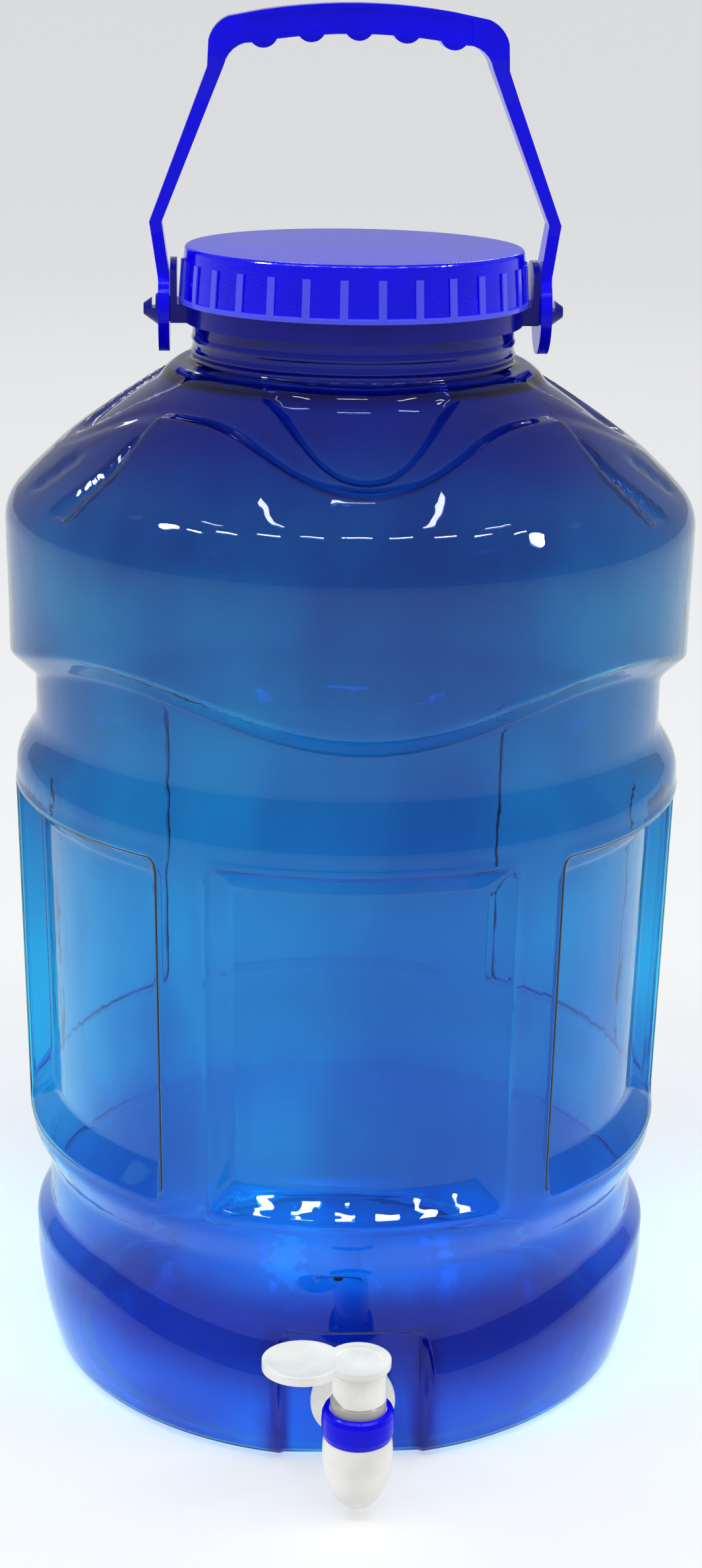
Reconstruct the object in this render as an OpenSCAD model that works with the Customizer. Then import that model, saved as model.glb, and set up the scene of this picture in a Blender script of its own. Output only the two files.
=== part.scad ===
// Large water jug: blow-moulded bottle, screw cap, swinging bail handle and lever tap.
// Origin on the floor at the bottle's axis, +Z up, tap side towards -Y.

/* [Bottle] */
// Outer radius of the plain band under the shoulder
band_r = 138.2; // [134:0.1:141]
// Outer radius of the panelled body at its top
body_top_r = 136; // [134.5:0.5:137]
// Outer radius of the panelled body at its foot
body_foot_r = 133; // [131:0.5:134]
// Outer radius of the base at its widest
base_r = 131.8; // [130:0.2:133]
// Wall thickness of the bottle
wall = 1.2; // [1:0.1:1.6]
// Number of recessed panels round the body
panel_count = 6; // [4:1:6]
// Depth of a recessed panel
panel_depth = 9.5; // [6:0.5:11]

/* [Neck and cap] */
// Outer radius of the neck
neck_r = 63.5; // [63:0.1:64]
// Height of the neck's rim above the floor
rim_z = 463.55; // [462:0.05:464]
// Height of the cap's top above the floor
cap_top_z = 467; // [466.8:0.1:468]
// Number of grip ribs on the cap
rib_count = 30; // [20:1:40]
// Lead of the cap's thread
thread_lead = 6; // [5.5:0.5:6.5]

/* [Handle] */
// Height of the handle's pivot above the floor
pivot_z = 442; // [441:0.5:443]
// Radius of the pivot pins
pin_r = 5; // [4:0.5:6]
// Height of the grip's top above the floor
grip_top_z = 558; // [550:1:565]
// Number of finger bumps under the grip
bump_count = 5; // [3:2:5]

/* [Tap] */
// Height of the tap's shank above the floor
shank_z = 28.5; // [28:0.5:30]
// Distance of the tap's upright axis in front of the bottle's axis
tap_y = 160; // [158:1:164]
// Largest radius of the spout body
spout_r = 13.65; // [13:0.05:14.5]
// Reach of the thumb paddle from the tap's axis
paddle_reach = 37; // [34:1:40]

/* [Hidden] */

fine = 96;
eps = 0.01;
bottle_blue = [0.10, 0.35, 0.78, 0.6];
royal_blue = [0.06, 0.0, 0.84];
navy = [0.05, 0.05, 0.35];
tap_white = [0.94, 0.94, 0.91];
silicone = [0.85, 0.86, 0.84, 0.8];

// Bottle heights, from the floor up
foot_ring_r = 120;
foot_ring_in = 104;
base_top_z = 52;
low_groove_r = 125.5;
low_groove_z0 = 65;
low_groove_z1 = 87;
body_z0 = 104;
body_z1 = 262;
waist_r = 127.2;
waist_z0 = 278;
wave_mean_z = 305.3;
wave_swing = 8.1;
band_top_z = 356;
shoulder_top_r = 77;
shoulder_top_z = 418.5;
neck_foot_z = 425;
neck_split_z = 421.5;
collar_z0 = 438;
collar_z1 = 445.2;
finish_r = 61.6;
mouth_r = 58.8;
panel_z0 = 120;
panel_z1 = 243;
panel_half_deg = 21.2;

// Tap alcove in the base
pad_y = 120;
pad_half = 27.8;
pad_top_z = 57;

// ---- helpers ----

// Points of an arc about c, radius r, from angle a0 to a1, in the plane of a profile
function arc(c, r, a0, a1, n = 8) =
    [for (i = [0:n]) let (a = a0 + (a1 - a0) * i / n) c + r * [cos(a), sin(a)]];

// Unit normal on the left of the line from p to q
function left_normal(p, q) = [p[1] - q[1], q[0] - p[0]] / norm(q - p);

// Point i of an open outline moved by t to its left, mitred at the corners
function shifted(pts, i, t) =
    let (last = len(pts) - 1,
         n0 = left_normal(pts[max(i - 1, 0)], pts[max(i, 1)]),
         n1 = left_normal(pts[min(i, last - 1)], pts[min(i + 1, last)]),
         m = n0 + n1)
    pts[i] + m * (2 * t / (m * m));

function inset(pts, t) = [for (i = [0:len(pts) - 1]) shifted(pts, i, t)];

// Ring of a swept thread or coil: section points (radius, height) turned to angle a
function ring_at(section, a, z) =
    [for (s = section) [s[0] * cos(a), s[0] * sin(a), s[1] + z]];

// A helical ridge with a closed section, from angle a0 to a1, fading in at both ends
module helix(section, root, a0, a1, lead, z0, steps) {
    n = len(section);
    fade = function(i) min(1, 0.15 + i / 4, 0.15 + (steps - i) / 4);
    pts = [for (i = [0:steps]) let (a = a0 + (a1 - a0) * i / steps, k = fade(i))
        each ring_at([for (s = section) [root + (s[0] - root) * k, s[1]]], a, z0 + lead * a / 360)];
    sides = [for (i = [0:steps - 1], j = [0:n - 1]) let (a = i * n + j, b = i * n + (j + 1) % n)
        each [[a, b, b + n], [a, b + n, a + n]]];
    caps = [[for (j = [n - 1:-1:0]) j], [for (j = [0:n - 1]) steps * n + j]];
    polyhedron(pts, concat(sides, caps));
}

// Lies a solid drawn along +Z down so that it runs along +Y, from y0
module along_y(y0, z) {
    translate([0, y0, z]) rotate([-90, 0, 0]) children();
}

// ---- bottle ----

// Outline of the bottle's outside from the standing ring up to the neck
function bottle_outline() = concat(
    [[foot_ring_r, 0]],
    arc([foot_ring_r, 5.5], 5.5, -70, -10, 3),
    [[base_r, base_top_z - 6]],
    arc([base_r - 6, base_top_z - 4], 6, 0, 60, 4),
    [[low_groove_r, low_groove_z0], [low_groove_r, low_groove_z1]],
    arc([body_foot_r - 9, body_z0], 9, -50, 0, 5),
    [[body_top_r, body_z1]],
    arc([body_top_r - 8, body_z1], 8, 15, 70, 4),
    [[waist_r, waist_z0], [waist_r, wave_mean_z - wave_swing]],
    [[band_r - 2, wave_mean_z - wave_swing + 4], [band_r, wave_mean_z - wave_swing + 9]],
    [[band_r, band_top_z]],
    arc([band_r - 32, band_top_z], 32, 12, 60, 6),
    [[shoulder_top_r, shoulder_top_z]],
    arc([neck_r + 7, neck_foot_z], 7, 250, 190, 4),
    [[neck_r, neck_foot_z + 2], [neck_r, collar_z0]]);

// Body of revolution, its wall moved in by t
module bottle_form(t) {
    edge = inset(bottle_outline(), t);
    last = edge[len(edge) - 1];
    rotate_extrude($fn = fine) polygon(concat([[0, t]], [[edge[0][0], t]],
        [for (i = [1:len(edge) - 1]) edge[i]], [[0, last[1]]]));
}

// One recessed panel: sloped ledges above and below, sloped posts at the sides, grown by t
module panel_cut(t) {
    floor_r = (body_top_r + body_foot_r) / 2 - panel_depth - t;
    floor_half = floor_r * sin(panel_half_deg) + t * 0.5;
    reach = body_top_r + 14 - floor_r;
    intersection() {
        rotate_extrude(angle = 360, $fn = fine)
            polygon([[floor_r, panel_z0 - t], [floor_r + reach, panel_z0 - t - reach * 1.05],
                     [floor_r + reach, panel_z1 + t + reach], [floor_r, panel_z1 + t]]);
        translate([0, 0, panel_z0 - 40]) linear_extrude(panel_z1 - panel_z0 + 80)
            polygon([[-floor_half, -floor_r * 0.9], [floor_half, -floor_r * 0.9],
                     [floor_half + reach * 1.1, -floor_r - reach],
                     [-floor_half - reach * 1.1, -floor_r - reach]]);
    }
}

// One of the four scallops that make the lower edge of the band wavy, grown by t
module wave_cut(t) {
    cut_r = 184;
    crest_z = wave_mean_z + wave_swing;
    intersection() {
        translate([0, 0, waist_z0 + 6]) difference() {
            cylinder(r = band_r + 10, h = crest_z - waist_z0 + 4, $fn = fine);
            translate([0, 0, -1]) cylinder(r = waist_r - t, h = crest_z - waist_z0 + 6, $fn = fine);
        }
        translate([0, -90, crest_z + t - cut_r]) rotate([90, 0, 0])
            cylinder(r = cut_r, h = 80, $fn = fine);
    }
}

// Flat-backed alcove for the tap, open below, grown by t
module alcove_cut(t) {
    translate([0, 0, -1]) linear_extrude(pad_top_z + t + 1)
        polygon([[-pad_half - t, -pad_y + t], [pad_half + t, -pad_y + t],
                 [pad_half + t + 12, -pad_y - 22], [-pad_half - t - 12, -pad_y - 22]]);
}

// Hollow under the base with a small dome at its middle, grown by t
module push_up(t) {
    translate([0, 0, -1]) cylinder(r1 = foot_ring_in + t, r2 = foot_ring_in - 6 + t, h = 6 + t, $fn = fine);
    translate([0, 0, 5 + t - eps]) cylinder(r1 = foot_ring_in - 6 + t, r2 = 40, h = 5, $fn = fine);
    translate([0, 0, 10 + t - 2 * eps]) cylinder(r1 = 14 + t, r2 = 8 + t, h = 5, $fn = fine);
}

module bottle_block(t) {
    difference() {
        bottle_form(t);
        for (i = [0:panel_count - 1]) rotate(i * 360 / panel_count) panel_cut(t);
        for (i = [0:3]) rotate(45 + 90 * i) wave_cut(t);
        alcove_cut(t);
        push_up(t);
    }
}

// Threaded neck finish that the cap screws on, with the bead that holds the collar
module neck_finish() {
    translate([0, 0, collar_z0 - eps]) cylinder(r = neck_r, h = collar_z1 - collar_z0 + eps, $fn = fine);
    translate([0, 0, collar_z1 - eps]) cylinder(r = finish_r, h = rim_z - collar_z1 + eps, $fn = fine);
    translate([0, 0, collar_z1 + 0.1]) cylinder(r1 = neck_r + 0.9, r2 = neck_r + 0.1, h = 1.2, $fn = fine);
    for (z = [426, 431]) translate([0, 0, z])
        cylinder(r1 = neck_r + 0.7, r2 = neck_r - 0.1, h = 1.2, $fn = fine);
    helix([[finish_r - 0.4, -1.7], [finish_r + 1.7, -0.7], [finish_r + 1.7, 0.7], [finish_r - 0.4, 1.7]],
          finish_r - 0.4, 0, 540, thread_lead, 449, 54);
}

// The bottle is one moulding, drawn as three stacked solids that meet at flat planes
module slab(z0, z1) {
    translate([0, 0, z0]) cylinder(r = band_r + 12, h = z1 - z0, $fn = fine);
}

module bottle_body() {
    color(bottle_blue) difference() {
        intersection() {
            bottle_block(0);
            slab(-1, band_top_z);
        }
        bottle_block(wall);
        along_y(-pad_y - 5, shank_z) cylinder(r = 8.3, h = 12, $fn = fine);
    }
}

module bottle_shoulder() {
    color(bottle_blue) difference() {
        intersection() {
            bottle_form(0);
            slab(band_top_z, neck_split_z);
        }
        bottle_form(wall);
    }
}

module bottle_neck() {
    color(bottle_blue) difference() {
        union() {
            intersection() {
                bottle_form(0);
                slab(neck_split_z, collar_z0 + 1);
            }
            neck_finish();
        }
        translate([0, 0, neck_split_z - 2]) cylinder(r = mouth_r, h = 60, $fn = fine);
    }
}

// ---- cap ----

cap_bore_r = 64.2;
cap_low_r = 68.2;
cap_top_r = 66.6;
cap_foot_z = 445.6;
rib_top_z = 461.5;
rib_out = 0.7;

module cap_rib() {
    tilt = atan((cap_low_r - cap_top_r) / (cap_top_z - cap_foot_z));
    translate([cap_low_r - 1.2, -1.5, cap_foot_z + 1]) rotate([0, -tilt, 0])
        cube([1.2 + rib_out, 3, rib_top_z - cap_foot_z - 1]);
}

module cap_shell() {
    color(royal_blue) union() {
        difference() {
            rotate_extrude($fn = fine) polygon(concat(
                [[0, cap_foot_z], [cap_low_r + rib_out, cap_foot_z], [cap_low_r + rib_out, cap_foot_z + 1.6],
                 [cap_low_r - 0.15, cap_foot_z + 2.2]],
                arc([cap_top_r - 1.5, cap_top_z - 1.5], 1.5, 5, 90, 5), [[0, cap_top_z]]));
            translate([0, 0, cap_foot_z - 1])
                cylinder(r = cap_bore_r, h = rim_z + 2.25 - cap_foot_z, $fn = fine);
            translate([0, 0, cap_foot_z - 1]) cylinder(r = 66.2, h = 3.4, $fn = fine);
        }
        for (i = [0:rib_count - 1]) rotate(i * 360 / rib_count) cap_rib();
        helix([[cap_bore_r + 0.4, -1.6], [cap_bore_r + 0.4, 1.6],
               [cap_bore_r - 2, 0.6], [cap_bore_r - 2, -0.6]],
              cap_bore_r + 0.4, -30, 330, thread_lead, 449 + thread_lead / 2, 36);
    }
}

module cap_liner() {
    color(silicone) translate([0, 0, rim_z + 0.02])
        cylinder(r = cap_bore_r - 0.5, h = 1.2, $fn = fine);
}

// ---- collar and handle ----

ear_in = 69.4;
ear_out = 72;
eye_in = 72.3;
eye_out = 76.6;
ear_half = 12;
ear_top_z = 462;
knob_in = eye_out + 0.25;
knob_out = 82.6;

// Ear plate, pivot pin and split snap knob on the +X side
module pivot_ear() {
    difference() {
        union() {
            translate([neck_r - 1, -ear_half, collar_z0])
                cube([ear_out - neck_r + 1, 2 * ear_half, collar_z1 - collar_z0]);
            intersection() {
                translate([ear_in, -ear_half, collar_z0])
                    cube([ear_out - ear_in, 2 * ear_half, ear_top_z - collar_z0]);
                translate([ear_in - 1, 0, ear_top_z - 18]) rotate([0, 90, 0])
                    cylinder(r = 18, h = 5, $fn = fine);
            }
            translate([ear_in, -ear_half, collar_z0]) cube([ear_out - ear_in, 2 * ear_half, 8]);
            translate([ear_out - 0.5, 0, pivot_z]) rotate([0, 90, 0])
                cylinder(r = pin_r, h = knob_in + 1.1 - ear_out, $fn = 64);
            translate([knob_in, 0, pivot_z]) rotate([0, 90, 0])
                cylinder(r1 = pin_r + 1.3, r2 = 2.2, h = knob_out - knob_in, $fn = 64);
        }
        translate([knob_in + 1, -8, pivot_z + 0.8]) cube([1.4, 16, 8]);
    }
}

module pivot_collar() {
    color(navy) difference() {
        union() {
            translate([0, 0, collar_z0]) cylinder(r = neck_r + 3.2, h = collar_z1 - collar_z0, $fn = fine);
            pivot_ear();
            rotate(180) mirror([0, 1, 0]) pivot_ear();
        }
        translate([0, 0, collar_z0 - 1]) cylinder(r = neck_r + 0.05, h = 12, $fn = fine);
    }
}

eye_r = 16.4;
knee = [80, 476];
knee_in = [75.2, 476];
arm_top = [57.6, 534];
grip_end = [46, 553.4];
grip_depth = 11.2;

// Arch of the grip: height at x of a flat arc that passes through the crown and (ex, ez)
function arch(x, crown, ex, ez) = crown - (crown - ez) * (x / ex) * (x / ex);

// Right half of the handle's outline seen from the front: outer edge up, inner edge down
function bail_half() = concat(
    [[eye_out, pivot_z - eye_r - 1], [eye_out, pivot_z + 12], knee, arm_top],
    arc([grip_end[0] - 1.2, grip_end[1] - 12.6], 12.7, 14, 68, 6),
    [for (i = [1:6]) let (x = grip_end[0] * (1 - i / 6) * 0.95)
        [x, arch(x, grip_top_z, grip_end[0], grip_end[1])]],
    [for (i = [0:5]) let (x = 40 * i / 5) [x, arch(x, grip_top_z - grip_depth, 40, 543.2)]],
    arc([40.6, 532.4], 10.9, 75, 12, 5),
    [knee_in, [eye_in, pivot_z + 14], [eye_in, pivot_z - eye_r - 1]]);

module bail_plate(half_y) {
    for (side = [0, 1]) mirror([side, 0, 0]) rotate([90, 0, 0])
        translate([0, 0, -half_y]) linear_extrude(2 * half_y) polygon(bail_half());
}

// Widths of the strap from front to back at each height, with the round eyes
module bail_widths() {
    rotate([90, 0, 90]) translate([0, 0, -90]) linear_extrude(180)
        polygon([[-9, pivot_z + 8], [9, pivot_z + 8], [7, knee[1] - 4], [7, 522], [9.5, 538], [9.5, 570],
                 [-9.5, 570], [-9.5, 538], [-7, 522], [-7, knee[1] - 4]]);
    translate([-90, 0, pivot_z]) rotate([0, 90, 0]) cylinder(r = eye_r, h = 180, $fn = fine);
}

module handle_bail() {
    bump_pitch = 18.2;
    color(royal_blue) difference() {
        union() {
            intersection() {
                bail_plate(20);
                bail_widths();
            }
            for (i = [0:bump_count - 1]) let (x = (i - (bump_count - 1) / 2) * bump_pitch)
                translate([x, 8, arch(x, grip_top_z - grip_depth, 40, 543.2) + 3.2]) rotate([90, 0, 0])
                    cylinder(r = 5.8, h = 16, $fn = 48);
        }
        for (side = [-1, 1]) translate([side * 74, 0, pivot_z]) rotate([0, 90, 0])
            cylinder(r = pin_r + 0.06, h = 12, center = true, $fn = 64);
        for (face = [0, 1]) mirror([0, face, 0]) grip_recess();
    }
}

// Shallow channel between the border ribs on one face of the grip
module grip_recess() {
    rim = 1.5;
    low = grip_top_z - grip_depth + rim;
    translate([0, -8.1, 0]) rotate([90, 0, 0]) linear_extrude(3)
        polygon(concat(
            [for (i = [0:10]) let (x = -43 + 8.6 * i)
                [x, arch(x, grip_top_z - rim, grip_end[0], grip_end[1] - rim)]],
            [for (i = [0:10]) let (x = 43 - 8.6 * i) [x, arch(x, low, 40, 543.2 + rim)]]));
}

// ---- tap ----

flange_y = 122.2;
flange_r = 16.8;
shank_r = 8;
shank_end_y = 98;
seat_z = 20;
chamber_r = 7.5;
arm_r = 7.3;
egg_half_h = 24.5;
nozzle_z = 6.2;
egg_foot_z = 6.6;
body_top_z = 47;
trim_z0 = 36;
trim_z1 = 48;
bonnet_top_z = 52;
bonnet_r = 10.75;
stem_r = 2.6;
pin_z = 57.5;
lever_foot_z = 52.35;
lever_top_z = 68.5;

module tap_body() {
    color(tap_white) difference() {
        union() {
            translate([0, -tap_y, 0]) rotate_extrude($fn = fine) polygon(concat(
                [[0, nozzle_z], [5.6, nozzle_z]],
                [for (i = [0:14]) let (z = egg_foot_z + (trim_z0 - egg_foot_z) * i / 14,
                                       k = (z - shank_z) / egg_half_h)
                    [spout_r * sqrt(1 - k * k), z]],
                [[11.5, trim_z0], [11.5, body_top_z], [0, body_top_z]]));
            along_y(-tap_y, shank_z) cylinder(r = arm_r, h = tap_y - flange_y - 1, $fn = fine);
            along_y(-flange_y - 2.5, shank_z) cylinder(r = flange_r, h = 2.5, $fn = fine);
            along_y(-flange_y - 1, shank_z)
                cylinder(r = shank_r - 0.6, h = flange_y + 1 - shank_end_y, $fn = fine);
            for (i = [0:8]) along_y(-flange_y + 6 + i * 2, shank_z)
                cylinder(r1 = shank_r - 0.6, r2 = shank_r, h = 1, $fn = fine);
        }
        translate([0, -tap_y, seat_z]) cylinder(r = chamber_r, h = 40, $fn = fine);
        translate([0, -tap_y, nozzle_z - 1]) cylinder(r = 4.2, h = seat_z - 3 - nozzle_z + 1, $fn = 64);
        translate([0, -tap_y, nozzle_z]) cylinder(r = 3.2, h = seat_z, $fn = 64);
        along_y(-tap_y, shank_z) cylinder(r = 4.5, h = tap_y - shank_end_y + 1, $fn = 64);
    }
}

module ring_y(r_out, r_in, y0, h) {
    along_y(-y0, shank_z) difference() {
        cylinder(r = r_out, h = h, $fn = fine);
        translate([0, 0, -1]) cylinder(r = r_in, h = h + 2, $fn = fine);
    }
}

module tap_outer_washer() {
    color(silicone) ring_y(14, shank_r + 0.1, flange_y - 0.02, flange_y - 0.04 - pad_y);
}

module tap_inner_washer() {
    color(silicone) ring_y(13.5, shank_r + 0.1, pad_y - wall - 0.02, 2);
}

module tap_lock_nut() {
    color(tap_white) along_y(-pad_y + wall + 2.04, shank_z) difference() {
        union() {
            cylinder(r = 14, h = 1.8, $fn = fine);
            cylinder(r = 13.4, h = 8, $fn = 6);
        }
        translate([0, 0, -1]) cylinder(r = shank_r + 0.05, h = 10, $fn = fine);
    }
}

module tap_bonnet() {
    color([0.66, 0.64, 0.60]) translate([0, -tap_y, 0]) difference() {
        union() {
            translate([0, 0, body_top_z + 0.02])
                cylinder(r = bonnet_r, h = bonnet_top_z - body_top_z - 1, $fn = fine);
            translate([0, 0, bonnet_top_z - 1])
                cylinder(r1 = bonnet_r, r2 = bonnet_r - 0.8, h = 1, $fn = fine);
            translate([0, 0, 40]) cylinder(r = chamber_r - 0.05, h = 10, $fn = fine);
        }
        translate([0, 0, 35]) cylinder(r = stem_r + 0.06, h = 20, $fn = 64);
    }
}

module tap_trim_ring() {
    color(royal_blue) translate([0, -tap_y, 0]) rotate_extrude($fn = fine) polygon([
        [11.55, trim_z0 + 0.02], [13.3, trim_z0 + 0.02], [14, trim_z0 + 2.5], [14.1, trim_z0 + 6],
        [13.9, trim_z1 - 2.5], [13.2, trim_z1 - 0.7], [12.4, trim_z1], [11.2, trim_z1],
        [10.95, body_top_z + 0.04], [11.55, body_top_z + 0.04]]);
}

module tap_stem() {
    color([0.9, 0.9, 0.88]) translate([0, -tap_y, 0]) difference() {
        union() {
            translate([0, 0, seat_z + 6.02]) cylinder(r = 5.4, h = 1.6, $fn = 64);
            translate([0, 0, seat_z + 7]) cylinder(r = stem_r, h = pin_z + 3 - seat_z - 7, $fn = 64);
            translate([0, 0, seat_z + 3]) cylinder(r = 1.6, h = 4, $fn = 48);
        }
        translate([0, 0, 45.2]) difference() {
            cylinder(r = 4, h = 1.3, $fn = 64);
            translate([0, 0, -1]) cylinder(r = 1.4, h = 4, $fn = 64);
        }
        translate([0, 5, pin_z]) rotate([90, 0, 0]) cylinder(r = 1.25, h = 10, $fn = 48);
    }
}

module stem_seal() {
    color([0.15, 0.15, 0.15]) translate([0, -tap_y, 45.85]) rotate_extrude($fn = 64)
        translate([2.02, 0]) circle(r = 0.6, $fn = 24);
}

module valve_plug() {
    color(silicone) translate([0, -tap_y, 0]) difference() {
        union() {
            translate([0, 0, seat_z + 0.02]) cylinder(r = 5.6, h = 5.98, $fn = 64);
            translate([0, 0, seat_z - 1.6]) cylinder(r1 = 1.6, r2 = 2.7, h = 1.7, $fn = 64);
        }
        translate([0, 0, seat_z + 2.7]) cylinder(r = 1.66, h = 4, $fn = 48);
    }
}

module return_spring() {
    wire = 0.55;
    low = seat_z + 7.64 + wire;
    high = 40 - wire - 0.03;
    turns = 5;
    color([0.75, 0.76, 0.78]) translate([0, -tap_y, 0])
        coil(4.6, wire, low, high, turns, turns * 18, 8);
}

// Coil spring of round wire with n sides, from height low to high
module coil(r, wire, low, high, turns, steps, n) {
    pts = [for (i = [0:steps]) let (a = 360 * turns * i / steps)
        each ring_at([for (j = [0:n - 1]) [r + wire * cos(360 * j / n), wire * sin(360 * j / n)]], a,
                     low + (high - low) * i / steps)];
    sides = [for (i = [0:steps - 1], j = [0:n - 1]) let (a = i * n + j, b = i * n + (j + 1) % n)
        each [[a, b + n, b], [a, a + n, b + n]]];
    caps = [[for (j = [0:n - 1]) j], [for (j = [n - 1:-1:0]) steps * n + j]];
    polyhedron(pts, concat(sides, caps));
}

module lever_pin() {
    color([0.8, 0.8, 0.8]) translate([0, -tap_y + 8.9, pin_z]) rotate([90, 0, 0])
        cylinder(r = 1.2, h = 17.8, $fn = 48);
}

function oval(c, a, b, n = 48) = [for (i = [0:n - 1]) c + [a * cos(360 * i / n), b * sin(360 * i / n)]];

module tap_lever() {
    skirt_r = 10.75;
    top_r = 12.3;
    plate = 4.5;
    oval_a = 15.5;
    rock_x = 6;
    color(tap_white) translate([0, -tap_y, 0]) difference() {
        union() {
            translate([0, 0, lever_foot_z])
                cylinder(r = skirt_r, h = lever_top_z - lever_foot_z - 2, $fn = fine);
            translate([0, 0, lever_top_z - plate])
                cylinder(r1 = top_r - 1.6, r2 = top_r, h = 2, $fn = fine);
            translate([0, 0, lever_top_z - plate + 2 - eps])
                cylinder(r = top_r, h = plate - 2 + eps, $fn = fine);
            translate([0, 0, lever_top_z - 3.4]) linear_extrude(3.4)
                polygon(oval([oval_a - paddle_reach, 0], oval_a, 14.2));
        }
        // chamfer that the lever rocks on
        translate([-rock_x, -15, lever_foot_z]) rotate([0, 38, 0]) mirror([1, 0, 0]) translate([0, 0, -12])
            cube([20, 30, 12]);
        // hollow for the stem's head and the pin
        translate([0, 0, lever_foot_z - 1]) cylinder(r = 4.2, h = 12, $fn = 64);
        translate([-rock_x - 2, -stem_r - 0.5, lever_foot_z - 1]) cube([rock_x + 2, 2 * stem_r + 1, 6]);
        translate([0, 9, pin_z]) rotate([90, 0, 0]) cylinder(r = 1.26, h = 18, $fn = 48);
        // dished thumb rest, round recess and its centre dot
        translate([oval_a - paddle_reach, 0, lever_top_z + 48.2]) sphere(r = 50, $fn = fine);
        translate([0, 0, lever_top_z - 0.5]) difference() {
            cylinder(r = 9.4, h = 2, $fn = fine);
            translate([0, 0, -1]) cylinder(r = 0.8, h = 1.3, $fn = 32);
        }
    }
}

bottle_body();
bottle_shoulder();
bottle_neck();
cap_shell();
cap_liner();
pivot_collar();
handle_bail();
tap_body();
tap_outer_washer();
tap_inner_washer();
tap_lock_nut();
tap_bonnet();
tap_trim_ring();
tap_stem();
valve_plug();
stem_seal();
return_spring();
lever_pin();
tap_lever();
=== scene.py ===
"""Looks for the large water jug: tinted bottle, blue cap and handle, white lever tap."""
import math

import bmesh
import bpy
import numpy as np
from mathutils import Matrix, Vector


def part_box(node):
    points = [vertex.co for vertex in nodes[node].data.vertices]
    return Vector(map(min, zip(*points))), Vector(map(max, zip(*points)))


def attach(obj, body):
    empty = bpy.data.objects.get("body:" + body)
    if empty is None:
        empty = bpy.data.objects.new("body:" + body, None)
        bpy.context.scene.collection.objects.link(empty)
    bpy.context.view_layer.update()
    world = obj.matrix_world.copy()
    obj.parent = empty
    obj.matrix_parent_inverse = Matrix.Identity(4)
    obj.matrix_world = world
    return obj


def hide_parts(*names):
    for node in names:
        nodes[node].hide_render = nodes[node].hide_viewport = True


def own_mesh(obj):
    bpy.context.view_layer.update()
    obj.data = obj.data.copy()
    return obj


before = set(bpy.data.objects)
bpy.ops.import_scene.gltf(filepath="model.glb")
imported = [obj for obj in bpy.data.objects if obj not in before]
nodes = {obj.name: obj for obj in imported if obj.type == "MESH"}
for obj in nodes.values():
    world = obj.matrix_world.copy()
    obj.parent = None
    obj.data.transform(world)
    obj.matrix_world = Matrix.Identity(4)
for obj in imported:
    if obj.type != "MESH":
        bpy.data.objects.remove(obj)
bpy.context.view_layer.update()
MM = 0.001


# ---------------------------------------------------------------- sizes
# Millimetres and degrees, as in the CAD. _R is a radius, _Z a height above the floor, _H a height
# of its own. Angles round the bottle start at the tap.

WALL = 1.2
BAND_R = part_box("bottle_shoulder")[1].x / MM
RIM_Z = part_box("bottle_neck")[1].z / MM

# underside: radius and height, from the middle to the standing ring
UNDERSIDE = [(0.0, 15.0), (4, 14.8), (8, 13.6), (11, 11.6), (14, 10.2), (20, 9.9), (40, 9.6), (60, 8.6),
             (80, 7.0), (92, 5.2), (99, 3.2), (103, 1.2), (107, 0.3), (110, 0.0), (114, 0.0)]
FOOT_R, FOOT_H = 114, 5.0

# base, with a ledge on top that comes down beside the tap
BASE_R, BASE_FOOT_R = 131.8, 124.2
BASE_WIDE_Z, BASE_TAPER_H, BASE_TAPER_POWER = 48, 45, 1.9
LEDGE_Z, LEDGE_TOP_Z = 57.0, 66.0
LEDGE_DIP, LEDGE_TOP_DIP = 18.5, 10.5
DIP_FULL_DEG, DIP_START_DEG = 18, 52

# the tap's alcove: a flat pad with sloping sides
PAD_Y, PAD_HALF, PAD_TOP_Z = 120.0, 27.8, 57.0
PAD_CORNER, PAD_SIDE_SLOPE = 4, 3.0
SHANK_Z, SHANK_HOLE_R = 28.5, 8.3

# lower groove, body with its panels, waist, and the band with its waved lower edge
LOW_GROOVE_R = 125.5
LOW_GROOVE_Z, LOW_GROOVE_TOP_Z = 86.5, 102
BODY_FOOT_R, BODY_TOP_R = 133.0, 136.0
BODY_Z, BODY_H = 108, 150
PANELS = 6
PANEL_Z, PANEL_TOP_Z = 120.0, 243.0
PANEL_FLOOR_HALF_DEG, PANEL_SLOPE_DEG = 22.3, 2.9
PANEL_DEPTH, PANEL_BEAD = 9.5, 0.7
WAIST_R, WAIST_Z, WAIST_SLOPE_H = 127.6, 264, 14
WAVE_Z, WAVE_H, WAVE_SLOPE_H = 305.3, 8.1, 9.5
BULGE, BULGE_Z = 0.5, 320
BAND_TOP_Z = 361.0

# shoulder: a swollen cone with a rounded corner, under a four-lobed hollow
LOBES = 4
CORNER_R, CONE_SLOPE_DEG = 17.0, 39.3
SWELL, SWELL_R = 2.4, 77
SHOULDER_TOP_R = 72.0
SHOULDER_ROWS = 84
CREASE_R, CREASE_LOBE = 94.5, 22.5
POCKET_R, POCKET_LOBE, POCKET_HALF_DEG = 60, 48, 21
POCKET_DEPTH = 2.8
STRIP_DEG, STRIP_LEAN_DEG, STRIP_DEPTH = 54.2, 4.3, 2.6
LEAF_DEG, LEAF_LEAN_DEG, LEAF_DEPTH = 68, 7, 1.9

# neck: foot rings, the collar's seat, a snap bead and the thread
NECK_R, FINISH_R, MOUTH_R = 63.5, 61.6, 58.8
NECK_FOOT_Z, COLLAR_TOP_Z = 425.0, 445.2
FOOT_RING_Z = (426.6, 431.6)
FOOT_RING_H, SNAP_BEAD_H = 0.7, 0.8
THREAD_LEAD, THREAD_Z, THREAD_H = 6.0, 447.0, 1.6

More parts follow.
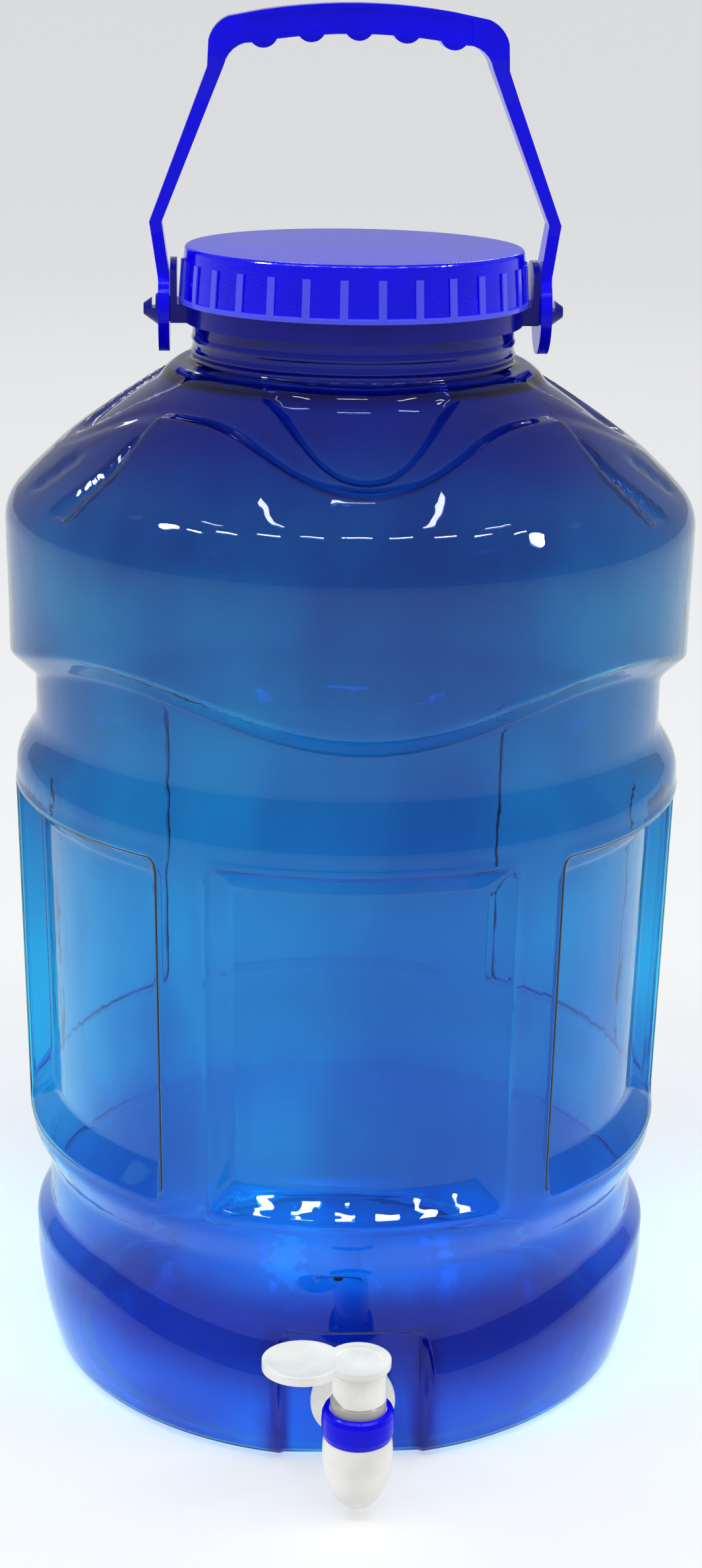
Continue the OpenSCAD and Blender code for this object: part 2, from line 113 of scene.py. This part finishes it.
# cap and tap, in metres
CAP_TAPER = 0.075
CAP_TOP_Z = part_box("cap_shell")[1].z


# ---------------------------------------------------------------- blends

def smooth(x, a, b):
    """0 below a, 1 above b, and a soft step between."""
    t = np.clip((x - a) / (b - a), 0.0, 1.0)
    return t * t * t * (t * (6 * t - 15) + 10)


def soft_min(a, b, k):
    """The lower of a and b, with the corner rounded over about k."""
    h = np.clip(0.5 + 0.5 * (b - a) / k, 0.0, 1.0)
    return b + (a - b) * h - k * h * (1 - h)


def soft_max(a, b, k):
    """The higher of a and b, with the corner rounded over about k."""
    return -soft_min(-a, -b, k)


def ramp_between(x, a, b, k=0.12):
    """0 below a, 1 above b, straight between, with both corners rounded over about k of the way."""
    t = (x - a) / (b - a)
    return soft_max(soft_min(t, 1.0, k), 0.0, k)


def hump(x, middle, width):
    """1 at the middle, falling to 0 on both sides over about the width."""
    return np.exp(-((x - middle) / width) ** 2)


def wrap(angle):
    """An angle in radians brought to -pi..pi."""
    return (angle + math.pi) % (2 * math.pi) - math.pi


def off_panel(theta):
    """Degrees from the middle of the nearest panel."""
    step = 2 * math.pi / PANELS
    return np.abs(np.degrees((theta + step / 2) % step - step / 2))


def off_front_or_back(theta):
    """Degrees from the front or from the back, whichever is nearer."""
    front = np.abs(np.degrees(wrap(theta)))
    return np.minimum(front, 180 - front)


# ---------------------------------------------------------------- shapes of the bottle

def base_radius(z):
    """Radius of the base, which tapers towards the foot."""
    taper = np.clip((BASE_WIDE_Z - z) / BASE_TAPER_H, 0, 1) ** BASE_TAPER_POWER
    return BASE_R - (BASE_R - BASE_FOOT_R) * taper


def ledge_dip(theta):
    """How far the base's top ledge has come down towards the tap, 0 to 1."""
    return 1 - ramp_between(np.abs(np.degrees(wrap(theta))), DIP_FULL_DEG, DIP_START_DEG, 0.1)


def panel_mask(theta, z):
    """1 on the floor of a recessed panel, 0 on the posts, sloping between, with a rolled bead at the edge."""
    side = (PANEL_FLOOR_HALF_DEG + PANEL_SLOPE_DEG - off_panel(theta)) / PANEL_SLOPE_DEG
    low = (z - (PANEL_Z - PANEL_DEPTH)) / PANEL_DEPTH
    high = ((PANEL_TOP_Z + PANEL_DEPTH) - z) / PANEL_DEPTH
    inner = soft_min(soft_min(side, low, 0.6), high, 0.6)
    bead = PANEL_BEAD / PANEL_DEPTH * hump(inner, -0.16, 0.2)
    return soft_max(soft_min(inner, 1.0, 0.12), 0.0, 0.12) - bead


def cut_alcove(r, theta, z):
    """Cuts the tap's alcove into the radius r."""
    front = np.cos(theta) > 0.7
    pad_r = PAD_Y / np.maximum(np.cos(theta), 0.3)
    side = np.abs(PAD_Y * np.tan(np.clip(wrap(theta), -1, 1)))
    past_side = np.maximum(side - PAD_HALF + PAD_CORNER, 0)
    past_top = np.maximum(z - PAD_TOP_Z + PAD_CORNER, 0)
    past = np.maximum(np.hypot(past_side, past_top) - PAD_CORNER, 0)
    return np.where(front, soft_min(r, pad_r + PAD_SIDE_SLOPE * past, 0.6), r)


def lower_radius(theta, z):
    """Outside radius from the foot up to the top of the plain band."""
    body = BODY_FOOT_R + (BODY_TOP_R - BODY_FOOT_R) * np.clip((z - BODY_Z) / BODY_H, 0, 1)
    dip = ledge_dip(theta)
    ledge = ramp_between(z, LEDGE_Z - LEDGE_DIP * dip, LEDGE_TOP_Z - LEDGE_TOP_DIP * dip, 0.14)
    r = base_radius(z)
    r = r + (LOW_GROOVE_R - r) * ledge
    r = r + (body - LOW_GROOVE_R) * ramp_between(z, LOW_GROOVE_Z, LOW_GROOVE_TOP_Z, 0.2)
    r = r - PANEL_DEPTH * panel_mask(theta, z)
    r = r + (WAIST_R - body) * ramp_between(z, WAIST_Z, WAIST_Z + WAIST_SLOPE_H, 0.3)
    wave = WAVE_Z - WAVE_H * np.cos(LOBES * theta)
    r = r + (BAND_R - BULGE - WAIST_R) * ramp_between(z, wave, wave + WAVE_SLOPE_H, 0.16)
    r = r + BULGE * smooth(z, BULGE_Z, BAND_TOP_Z)
    return cut_alcove(r, theta, z)


def dome_height(r):
    """Height of the shoulder's plain form at radius r."""
    slope = math.radians(CONE_SLOPE_DEG)
    edge_r = BAND_R - CORNER_R
    corner = BAND_TOP_Z + np.sqrt(np.maximum(CORNER_R ** 2 - np.maximum(r - edge_r, 0) ** 2, 0))
    meet_r = edge_r + CORNER_R * math.sin(slope)
    cone = BAND_TOP_Z + CORNER_R * math.cos(slope) + (meet_r - r) * math.tan(slope)
    swell = SWELL * np.sin(math.pi * np.clip((r - SWELL_R) / (meet_r - SWELL_R), 0, 1))
    return np.where(r > meet_r, corner, cone + swell)


def lobe_parts(theta, r):
    """How much there is at a point of the raised front or back lobe, of the slanted strip beside it, and
    of the leaf beyond the strip."""
    quarter = off_front_or_back(theta)
    strip_middle = STRIP_DEG + STRIP_LEAN_DEG * np.clip((r - 115) / 18, 0, 1)
    half = 1.5 + 6.0 * np.clip((r - 100) / 30, 0, 1)
    across = np.radians(quarter - strip_middle) * r
    front = 1 - ramp_between(across, -half - 1.6, -half + 0.8, 0.2)
    near_edge = ramp_between(across, -half, -half + 2.4, 0.2)
    far_edge = ramp_between(across, half - 2.4, half, 0.2)
    strip = near_edge * (1 - far_edge) * (smooth(r, 99, 106) * (1 - smooth(r, 129, 136)))
    leaf_middle = LEAF_DEG + LEAF_LEAN_DEG * np.clip((r - 110) / 22, 0, 1)
    from_leaf = np.abs(np.radians(quarter - leaf_middle) * r)
    leaf = (1 - ramp_between(from_leaf, 2.5, 5.5, 0.25)) * smooth(r, 110, 117) * (1 - smooth(r, 125, 133))
    return front, strip, leaf


def shoulder_height(theta, r):
    """Height of the shoulder: a lobed hollow inside a crease, a pocket in each lobe, a low roll between the
    two lines, and a raised front and back outside the crease."""
    lobe = ((1 + np.cos(LOBES * theta)) / 2) ** 1.4
    crease_r = CREASE_R + CREASE_LOBE * lobe
    outside = ramp_between(r, crease_r - 5.5, crease_r + 1.2, 0.16)
    off_lobe = np.abs(np.degrees(wrap(LOBES * theta))) / LOBES
    pocket_r = POCKET_R + POCKET_LOBE / (1 + (off_lobe / POCKET_HALF_DEG) ** 2.3)
    pocket = 1 - ramp_between(r, pocket_r - 3.6, pocket_r + 1.2, 0.2)
    rim_fade = 1 - smooth(r, 127, BAND_R - 0.5)
    front, strip, leaf = lobe_parts(theta, r)
    z = dome_height(r) + outside * rim_fade * (0.8 + 3.0 * front) - (1 - outside) * (0.6 + 0.9 * lobe)
    z = z - POCKET_DEPTH * pocket * smooth(r, 70, 80)
    z = z + 1.1 * lobe * hump(r, (pocket_r + crease_r) / 2, 3.2)
    return z - outside * (STRIP_DEPTH * strip + LEAF_DEPTH * leaf)


def neck_radius(theta, z):
    """Outside radius of the neck."""
    r = np.full_like(z + theta, NECK_R)
    for ring_z in FOOT_RING_Z:
        r = r + FOOT_RING_H * hump(z, ring_z, 0.7)
    r = r + SNAP_BEAD_H * hump(z, COLLAR_TOP_Z + 0.7, 0.5)
    r = r - (NECK_R - FINISH_R) * smooth(z, COLLAR_TOP_Z + 1.0, COLLAR_TOP_Z + 2.0)
    # one helix, a turn at a time, which fades in above the collar and out below the rim
    part_turn = wrap(theta) / (2 * math.pi) + 0.5
    for whole_turns in range(3):
        ridge_z = THREAD_Z + THREAD_LEAD * (part_turn + whole_turns - 0.5)
        here = smooth(ridge_z, 447.5, 449.5) * (1 - smooth(ridge_z, 458, 460))
        r = r + THREAD_H * here * (1 - smooth(np.abs(z - ridge_z), 0.5, 1.5))
    return r


# ---------------------------------------------------------------- the bottle's mesh

def spread(a, b, pitch):
    """Evenly spaced values from a up to but not including b, about pitch apart."""
    n = max(1, round(abs(b - a) / pitch))
    return [a + (b - a) * i / n for i in range(n)]


def outside_rows(theta):
    """The outside, row by row, from the middle of the underside up to the rim: radius and height."""
    ones = np.ones_like(theta)
    rows = [(r * ones, z * ones) for r, z in UNDERSIDE]

    foot_top_r = lower_radius(theta, FOOT_H * ones)
    for k in range(1, 7):
        a = math.radians(15 * k)
        rows.append((FOOT_R + (foot_top_r - FOOT_R) * math.sin(a), FOOT_H * (1 - math.cos(a)) * ones))

    # closer rows where the profile turns: base ledge, groove, panel ends, waist and wave
    heights = (spread(6, 16, 3.3) + spread(16, 70, 1.2) + spread(70, 84, 3.5) + spread(84, 104, 1.6)
               + spread(104, 126, 1.3) + spread(126, 238, 9.0) + spread(238, 256, 1.3)
               + spread(256, 282, 1.6) + spread(282, 294, 3.0) + spread(294, 324, 1.2)
               + spread(324, BAND_TOP_Z, 6.0))
    for z in heights:
        rows.append((lower_radius(theta, z * ones), z * ones))

    for k in range(SHOULDER_ROWS):
        a = math.pi / 2 * (1 - k / SHOULDER_ROWS)
        r = (SHOULDER_TOP_R + (BAND_R - SHOULDER_TOP_R) * math.sin(a) ** 0.9) * ones
        rows.append((r, shoulder_height(theta, r)))

    fillet_z = shoulder_height(theta, SHOULDER_TOP_R * ones)
    for k in range(1, 8):
        a = math.radians(90 * k / 8)
        rows.append(((SHOULDER_TOP_R - (SHOULDER_TOP_R - NECK_R) * math.sin(a)) * ones,
                     fillet_z + (NECK_FOOT_Z - 1.5 - fillet_z) * (1 - math.cos(a))))

    for z in spread(NECK_FOOT_Z - 1, RIM_Z - 0.6, 0.9):
        rows.append((neck_radius(theta, z * ones), z * ones))
    for inset, below_rim in ((0, 0.6), (0.25, 0.15), (0.7, 0)):
        rows.append(((FINISH_R - inset) * ones, (RIM_Z - below_rim) * ones))
    return rows


def column_angles():
    """Angles of the grid's columns, closer at the strips and panel edges and beside the tap's alcove."""
    fine_deg = 0.05
    fine = np.radians(np.arange(0, 360, fine_deg))
    quarter = off_front_or_back(fine)
    pitch = np.where((quarter > 48) & (quarter < 63), 0.9, 1.8)
    panel_edge = np.abs(off_panel(fine) - PANEL_FLOOR_HALF_DEG - PANEL_SLOPE_DEG / 2) < 2.4
    pitch = np.where(panel_edge, 0.45, pitch)
    pitch = np.where(np.abs(np.degrees(wrap(fine))) < 20, 0.75, pitch)
    passed = np.concatenate([[0], np.cumsum(fine_deg / pitch)])
    marks = np.linspace(0, passed[-1], round(passed[-1]), endpoint=False)
    return np.interp(marks, passed, np.append(fine, 2 * math.pi))


def grid_normals(p):
    """Unit normals of a closed-round grid of points, rows by columns."""
    around = np.roll(p, -1, axis=1) - np.roll(p, 1, axis=1)
    along = np.gradient(p, axis=0)
    n = np.cross(around, along)
    return n / np.maximum(np.linalg.norm(n, axis=2, keepdims=True), 1e-9)


def bottle_points():
    """Outer and inner grids of the bottle's wall. The neck's wall is thicker, with a plain round mouth."""
    theta = column_angles()
    rows = outside_rows(theta)
    r = np.array([a for a, _ in rows])
    z = np.array([b for _, b in rows])
    outer = np.stack([r * np.sin(theta), -r * np.cos(theta), z], axis=2)
    inner = outer - grid_normals(outer) * WALL
    inner_r = np.hypot(inner[..., 0], inner[..., 1])
    neck = smooth(z, NECK_FOOT_Z - 8, NECK_FOOT_Z + 2)
    want = inner_r * (1 - neck) + np.minimum(MOUTH_R, inner_r) * neck
    want = np.where(z > RIM_Z - 0.5, MOUTH_R + 0.6 * smooth(z, RIM_Z - 0.4, RIM_Z), want)
    scale = want / np.maximum(inner_r, 1e-6)
    inner[..., 0] *= scale
    inner[..., 1] *= scale
    level = inner[..., 2] * (1 - neck) + z * neck
    inner[..., 2] = np.where(z > NECK_FOOT_Z, np.minimum(z, level), inner[..., 2])
    return outer, inner


def grid_faces(rows, columns, first, flip):
    """Quads of a closed-round grid whose points start at index first."""
    i, j = np.meshgrid(np.arange(rows - 1), np.arange(columns), indexing="ij")
    a = first + i * columns + j
    b = first + i * columns + (j + 1) % columns
    quads = np.stack([a, b, b + columns, a + columns], axis=2).reshape(-1, 4)
    return quads[:, ::-1] if flip else quads


def close_hole(bm):
    """Rounds the two rims of the shank's hole and joins them with a wall."""
    rim = [e for e in bm.edges if e.is_boundary and e.link_faces]
    for v in {v for e in rim for v in e.verts}:
        x, z = v.co.x, v.co.z - SHANK_Z * MM
        k = SHANK_HOLE_R * MM / max(math.hypot(x, z), 1e-9)
        v.co.x, v.co.z = x * k, SHANK_Z * MM + z * k
    bmesh.ops.bridge_loops(bm, edges=rim)


def make_bottle():
    """The bottle as one closed skin: outer wall, inner wall, rim, and the hole for the tap's shank."""
    outer, inner = bottle_points()
    rows, columns = outer.shape[:2]
    verts = np.concatenate([outer.reshape(-1, 3), inner.reshape(-1, 3)])
    half = rows * columns
    j = np.arange(columns)
    k = (j + 1) % columns
    top = (rows - 1) * columns
    rim = np.stack([top + j, top + k, half + top + k, half + top + j], axis=1)
    faces = np.concatenate([grid_faces(rows, columns, 0, False), grid_faces(rows, columns, half, True), rim])
    in_hole = (np.hypot(verts[:, 0], verts[:, 2] - SHANK_Z) < SHANK_HOLE_R) & (verts[:, 1] < -100)
    keep = ~in_hole[faces].any(axis=1)
    mesh = bpy.data.meshes.new("bottle_skin")
    mesh.from_pydata((verts * MM).tolist(), [], faces[keep].tolist())

    bm = bmesh.new()
    bm.from_mesh(mesh)
    middle = [v for v in bm.verts if math.hypot(v.co.x, v.co.y) < 0.0005]
    bmesh.ops.remove_doubles(bm, verts=middle, dist=0.0005)
    close_hole(bm)
    bmesh.ops.delete(bm, geom=[v for v in bm.verts if not v.link_faces], context="VERTS")
    bmesh.ops.recalc_face_normals(bm, faces=bm.faces)
    bm.to_mesh(mesh)
    bm.free()
    mesh.polygons.foreach_set("use_smooth", [True] * len(mesh.polygons))
    piece = bpy.data.objects.new("bottle_skin", mesh)
    bpy.context.scene.collection.objects.link(piece)
    return piece


# ---------------------------------------------------------------- shader helpers

def new_material(name, values):
    """A material, its node tree and its shader, with constants set on the shader's sockets."""
    m = bpy.data.materials.new(name)
    m.use_nodes = True
    p = m.node_tree.nodes["Principled BSDF"]
    for socket, value in values.items():
        p.inputs[socket].default_value = value
    return m, m.node_tree, p


def add_node(nt, kind, inputs, **settings):
    """A new shader node. Each input is a constant, or another node's output to link."""
    made = nt.nodes.new("ShaderNode" + kind)
    for name, value in settings.items():
        setattr(made, name, value)
    for name, value in inputs.items():
        if isinstance(value, bpy.types.NodeSocket):
            nt.links.new(value, made.inputs[name])
        else:
            made.inputs[name].default_value = value
    return made


def object_place(nt):
    return add_node(nt, "TexCoord", {}).outputs["Object"]


def noise(nt, place, scale, detail):
    return add_node(nt, "TexNoise", {"Vector": place, "Scale": scale, "Detail": detail}).outputs["Fac"]


def ramp(nt, stops, source):
    """A soft colour ramp through (position, colour) stops."""
    made = add_node(nt, "ValToRGB", {0: source})
    made.color_ramp.interpolation = "EASE"
    elements = made.color_ramp.elements
    for i, (at, colour) in enumerate(stops):
        e = elements[i] if i < 2 else elements.new(at)
        e.position = at
        e.color = (*colour, 1)
    return made.outputs[0]


def multiplied(nt, a, b, factor=1.0):
    """Colour a times colour b, as far as factor says."""
    return add_node(nt, "Mix", {"Factor": factor, "A": a, "B": b},
                    data_type="RGBA", blend_type="MULTIPLY").outputs["Result"]


def add_bump(nt, p, height, distance, strength):
    made = add_node(nt, "Bump", {"Height": height, "Distance": distance, "Strength": strength})
    nt.links.new(made.outputs["Normal"], p.inputs["Normal"])


# ---------------------------------------------------------------- materials

# tint of the bottle's plastic, with painted shade: darker at the shoulder and neck for the dark surroundings
# seen through the wall; from the foot (0) to the rim (1)
PET_TINTS_AND_SHADE = [(0.0, (0.03, 0.33, 0.78)), (0.11, (0.03, 0.32, 0.78)), (0.19, (0.03, 0.48, 0.86)),
             (0.32, (0.03, 0.58, 0.90)), (0.47, (0.05, 0.48, 0.78)), (0.58, (0.04, 0.30, 0.60)),
             (0.735, (0.07, 0.38, 0.64)), (0.81, (0.07, 0.19, 0.50)), (0.89, (0.02, 0.05, 0.44)),
             (1.0, (0.004, 0.01, 0.48))]
BLACK, WHITE = (0, 0, 0), (1, 1, 1)
# painted shade: the base's front ledge and the sides of the tap's alcove are coloured darker and more purple
LEDGE_SHADE, ALCOVE_SIDE_SHADE = (0.6, 0.22, 0.48), (0.55, 0.3, 0.65)
# the second blue is a painted highlight for the crests of the cap's grip ribs
ROYAL_BLUE, RIB_HIGHLIGHT_BLUE = (0.003, 0.0, 0.78), (0.07, 0.08, 0.80)
MOTTLE_SCALE, GRAIN_SCALE = 60.0, 900.0


def tinted_pet():
    """Clear blue bottle plastic with painted shade in its colour: darker at the shoulder and neck for dark
    surroundings seen through the wall, and deeper on the base's front ledge and beside the tap's alcove, also
    painted shade. It is a little clouded. The mould leaves faint ripples."""
    m, nt, p = new_material("tinted_pet", {"Transmission Weight": 1.0, "IOR": 1.38, "Roughness": 0.01,
                                           "Specular IOR Level": 0.14})
    place = object_place(nt)
    axes = add_node(nt, "SeparateXYZ", {0: place}).outputs
    height = add_node(nt, "MapRange", {"Value": axes["Z"], "From Max": RIM_Z * MM}).outputs[0]
    front = add_node(nt, "MapRange", {"Value": axes["Y"], "From Min": -0.04, "From Max": -0.10}).outputs[0]
    # the height ramp is partly the plastic's tint and partly painted shade at the shoulder and neck
    tint_and_shade = ramp(nt, PET_TINTS_AND_SHADE, height)

    # painted shade: darker, more purple on the base's front ledge near the tap
    ledge = ramp(nt, [(0.05, WHITE), (0.11, LEDGE_SHADE), (0.14, LEDGE_SHADE), (0.19, WHITE)], height)
    tint_and_shade = multiplied(nt, tint_and_shade, ledge, front)

    # painted shade: darker, more purple low down beside the tap's alcove, on the front
    off_middle = add_node(nt, "Math", {0: axes["X"]}, operation="ABSOLUTE").outputs[0]
    side = ramp(nt, [(0.024, BLACK), (0.027, WHITE), (0.031, WHITE), (0.037, BLACK)], off_middle)
    beside = add_node(nt, "Math", {0: side, 1: front}, operation="MULTIPLY").outputs[0]
    low = ramp(nt, [(0.05, ALCOVE_SIDE_SHADE), (0.11, ALCOVE_SIDE_SHADE), (0.14, WHITE)], height)
    tint_and_shade = multiplied(nt, tint_and_shade, low, beside)

    drawn = add_node(nt, "Mapping", {"Scale": (1.0, 1.0, 0.45), "Vector": place}).outputs[0]
    clouds = ramp(nt, [(0.38, (1.08, 1.16, 1.06)), (0.62, (0.86, 0.72, 0.87))], noise(nt, drawn, 9.0, 3.0))
    nt.links.new(multiplied(nt, tint_and_shade, clouds), p.inputs["Base Color"])
    add_bump(nt, p, noise(nt, drawn, 60.0, 2.0), 0.0006, 0.32)
    return m


def moulded(name, colour, roughness, coat=0.0, shine=0.5, metal=0.0):
    """A moulded material, slightly mottled, with a fine grain."""
    m, nt, p = new_material(name, {"Specular IOR Level": shine, "Roughness": roughness, "Coat Weight": coat,
                                   "Coat Roughness": 0.08, "Metallic": metal})
    place = object_place(nt)
    darker = tuple(c * 0.86 for c in colour)
    mottle = ramp(nt, [(0.3, darker), (0.7, colour)], noise(nt, place, MOTTLE_SCALE, 3.0))
    nt.links.new(mottle, p.inputs["Base Color"])
    add_bump(nt, p, noise(nt, place, GRAIN_SCALE, 2.0), 0.0004, 0.15)
    return m


def paint_rib_crest_highlights(material, colour):
    """Painted highlight: paler crests on the cap's grip ribs, found by their distance from the axis,
    corrected for the taper.
    """
    nt = material.node_tree
    p = nt.nodes["Principled BSDF"]
    place = object_place(nt)
    flat = add_node(nt, "VectorMath", {0: place, 1: (1, 1, 0)}, operation="MULTIPLY").outputs[0]
    radius = add_node(nt, "VectorMath", {0: flat}, operation="LENGTH").outputs["Value"]
    z = add_node(nt, "SeparateXYZ", {0: place}).outputs["Z"]
    untapered = add_node(nt, "Math", {0: z, 1: CAP_TAPER, 2: radius}, operation="MULTIPLY_ADD").outputs[0]
    low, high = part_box("cap_shell")
    crest_r = high.x + CAP_TAPER * low.z
    crest = add_node(nt, "MapRange", {"Value": untapered, "From Min": crest_r - 0.0006,
                                      "From Max": crest_r - 0.0002}).outputs[0]
    mottle = p.inputs["Base Color"].links[0].from_socket
    mix = add_node(nt, "Mix", {"Factor": crest, "A": mottle, "B": (*colour, 1)}, data_type="RGBA")
    nt.links.new(mix.outputs["Result"], p.inputs["Base Color"])


def paint(name, material):
    """Gives a CAD node its material, with smooth faces between sharp edges."""
    mesh = nodes[name].data
    mesh.materials.clear()
    mesh.materials.append(material)
    mesh.polygons.foreach_set("use_smooth", [True] * len(mesh.polygons))
    mesh.set_sharp_from_angle(angle=math.radians(30))


# ---------------------------------------------------------------- pieces

def make_spring():
    """A copy of the coil spring, attached to the jug in place of the CAD spring, which is hidden."""
    coil = bpy.data.objects.new("spring_coil", nodes["return_spring"].data.copy())
    bpy.context.scene.collection.objects.link(coil)
    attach(coil, "jug")
    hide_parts("return_spring")
    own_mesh(coil)


bottle = make_bottle()
bottle.data.materials.append(tinted_pet())
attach(bottle, "jug")
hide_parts("bottle_body", "bottle_shoulder", "bottle_neck")

cap_blue = moulded("cap_blue", ROYAL_BLUE, 0.1, shine=0.3)
# painted highlight on the crests of the cap's grip ribs
paint_rib_crest_highlights(cap_blue, RIB_HIGHLIGHT_BLUE)

FINISHES = [
    (moulded("royal_blue", ROYAL_BLUE, 0.14, shine=0.16), ["handle_bail", "tap_trim_ring"]),
    (cap_blue, ["cap_shell"]),
    # painted shade: the pivot collar is a much darker navy than the cap and handle, partly its own colour and
    # partly shade under the cap's rim
    (moulded("navy_plastic", (0.004, 0.004, 0.22), 0.16, shine=0.2), ["pivot_collar"]),
    (moulded("tap_white", (0.86, 0.85, 0.80), 0.32, coat=0.15),
     ["tap_body", "tap_lock_nut", "tap_stem", "tap_lever"]),
    (moulded("grey_plastic", (0.42, 0.40, 0.35), 0.25), ["tap_bonnet"]),
    (moulded("silicone", (0.70, 0.71, 0.69), 0.5), ["tap_outer_washer", "tap_inner_washer", "valve_plug"]),
    (moulded("seal_foam", (0.85, 0.85, 0.83), 0.7), ["cap_liner"]),
    (moulded("black_rubber", (0.02, 0.02, 0.02), 0.6), ["stem_seal"]),
    (moulded("steel", (0.60, 0.61, 0.63), 0.3, metal=1.0), ["return_spring", "lever_pin"]),
]
for finish, names in FINISHES:
    for name in names:
        paint(name, finish)

make_spring()


# ---------------------------------------------------------------- floor, light and camera

FLOOR_HALF = 80.0
LIGHT_TARGET = (0, 0, 0.3)
CEILING_Z = 2.1
SENSOR_MM = 36.0
FOCAL_PX, IMAGE_HEIGHT_PX = 3913, 2376
CAMERA_DISTANCE, CAMERA_ABOVE_CAP = 1.025, 0.110
CAMERA_AZIMUTH_DEG, CAMERA_PITCH_DEG, CAMERA_ROLL_DEG, CAMERA_PAN_DEG = -3.0, 17.9, 0.95, -0.11


def make_floor():
    """A wide, plain, pale floor."""
    mesh = bpy.data.meshes.new("floor")
    s = FLOOR_HALF
    mesh.from_pydata([(-s, -s, 0), (s, -s, 0), (s, s, 0), (-s, s, 0)], [], [(0, 1, 2, 3)])
    floor = bpy.data.objects.new("floor", mesh)
    bpy.context.scene.collection.objects.link(floor)
    material, _, _ = new_material("pale_floor", {"Base Color": (0.82, 0.82, 0.82, 1), "Roughness": 0.8,
                                                 "Specular IOR Level": 0.2})
    mesh.materials.append(material)


def place_light(data, place):
    """Puts a light in the scene, turned towards the middle of the jug."""
    o = bpy.data.objects.new(data.name, data)
    o.location = place
    o.rotation_euler = (Vector(LIGHT_TARGET) - Vector(place)).to_track_quat("-Z", "Y").to_euler()
    bpy.context.scene.collection.objects.link(o)


def sun(name, place, strength):
    """A sun that casts no shadows, because clear plastic would cast them too dark."""
    data = bpy.data.lights.new(name, "SUN")
    data.energy = strength
    data.angle = math.radians(5)
    data.use_shadow = False
    place_light(data, place)


def strip(name, place, size, power):
    """A narrow light that shows as a streak in the glossy plastic."""
    data = bpy.data.lights.new(name, "AREA")
    data.shape = "RECTANGLE"
    data.size, data.size_y = size
    data.energy = power
    place_light(data, place)


def make_lights():
    """Two suns, a curved row and a straight row of ceiling strips, and a row of strips behind."""
    sun("key", (-2.0, -0.3, 2.2), 1.3)
    sun("fill", (2.0, -0.55, 2.0), 1.0)
    for i in range(9):
        k = i - 4
        strip(f"strip_{i}", (0.42 * k, -1.15 + 0.03 * k ** 2, CEILING_Z), (0.24, 0.045), 1.8)
    for i in range(5):
        strip(f"near_strip_{i}", (0.55 * (i - 2), -0.3, CEILING_Z), (0.3, 0.04), 1.0)
    for i in range(5):
        strip(f"back_strip_{i}", (0.5 * (i - 2), 3.0, 1.5), (0.08, 0.5), 0.5)


def make_world():
    """Even, faintly cool light from all sides, shown with plain colours."""
    world = bpy.data.worlds.new("world")
    world.use_nodes = True
    sky = world.node_tree.nodes["Background"]
    sky.inputs["Color"].default_value = (0.95, 0.97, 1.0, 1)
    sky.inputs["Strength"].default_value = 0.42
    bpy.context.scene.world = world
    bpy.context.scene.view_settings.view_transform = "Standard"


def make_camera():
    """The photograph's view: about a metre away, a little above the cap, looking down."""
    data = bpy.data.cameras.new("camera")
    data.sensor_width = SENSOR_MM
    data.lens = FOCAL_PX / IMAGE_HEIGHT_PX * SENSOR_MM
    o = bpy.data.objects.new("camera", data)
    azimuth, pitch = math.radians(CAMERA_AZIMUTH_DEG), math.radians(CAMERA_PITCH_DEG)
    across, away = math.sin(azimuth), math.cos(azimuth)
    o.location = (across * CAMERA_DISTANCE, -away * CAMERA_DISTANCE, CAP_TOP_Z + CAMERA_ABOVE_CAP)
    forward = Vector((-across * math.cos(pitch), away * math.cos(pitch), -math.sin(pitch)))
    forward = Matrix.Rotation(math.radians(CAMERA_PAN_DEG), 3, "Z") @ forward
    turn = forward.to_track_quat("-Z", "Y").to_matrix()
    o.rotation_euler = (turn @ Matrix.Rotation(math.radians(CAMERA_ROLL_DEG), 3, "Z")).to_euler()
    bpy.context.scene.collection.objects.link(o)
    bpy.context.scene.camera = o


make_floor()
make_lights()
make_world()
make_camera()
